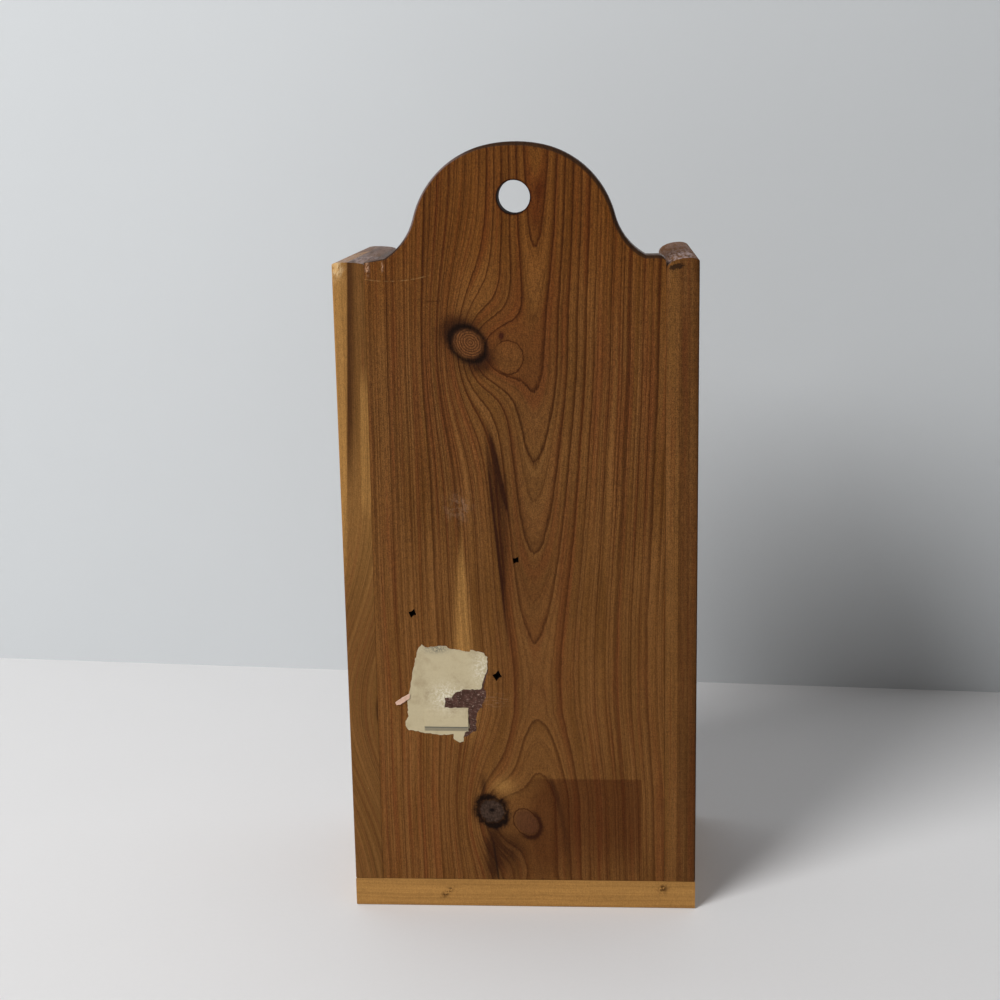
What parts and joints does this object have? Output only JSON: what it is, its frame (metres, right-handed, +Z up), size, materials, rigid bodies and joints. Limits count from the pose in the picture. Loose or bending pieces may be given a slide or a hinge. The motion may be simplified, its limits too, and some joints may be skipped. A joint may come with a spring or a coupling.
{
  "type": "wall match holder",
  "caption": "Tall cedar box for matches that hangs by a hole in its arched back board, with a hinged lid set between its sides and a striker strip on the front.",
  "frame": {"origin": "centre of the outline's lowest plane, under the bottom board", "axes": "+Z up along the height, +Y towards the wall, out of the back board; the lid opens at the front, towards -Y"},
  "size_m": [0.106, 0.0786, 0.2343],
  "materials": {
    "cedar": "worn clear lacquer",
    "pale_cedar": "worn clear lacquer",
    "brass": "aged satin",
    "nail_steel": "dull",
    "abrasive_paper": "gritty matt"
  },
  "bodies": {
    "case": {"back_board": "cedar", "left_side": "cedar", "right_side": "cedar", "front_board": "cedar", "bottom_board": "pale_cedar", "striker_strip": "abrasive_paper", "left_hinge_back_leaf": "brass", "right_hinge_back_leaf": "brass", "left_hinge_pin": "brass", "right_hinge_pin": "brass", "left_hinge_back_screws": "brass", "right_hinge_back_screws": "brass", "left_side_nails": "nail_steel", "right_side_nails": "nail_steel", "bottom_nails": "nail_steel"},
    "lid": {"lid": "cedar", "left_hinge_lid_leaf": "brass", "right_hinge_lid_leaf": "brass", "left_hinge_lid_screws": "brass", "right_hinge_lid_screws": "brass"}
  },
  "joints": [
    {"name": "lid_hinge", "type": "hinge", "parent": "case", "child": "lid", "pos_m": [0, 0.02745, 0.1919], "axis": [-1, 0, 0], "range_deg": [0, 95]}
  ]
}
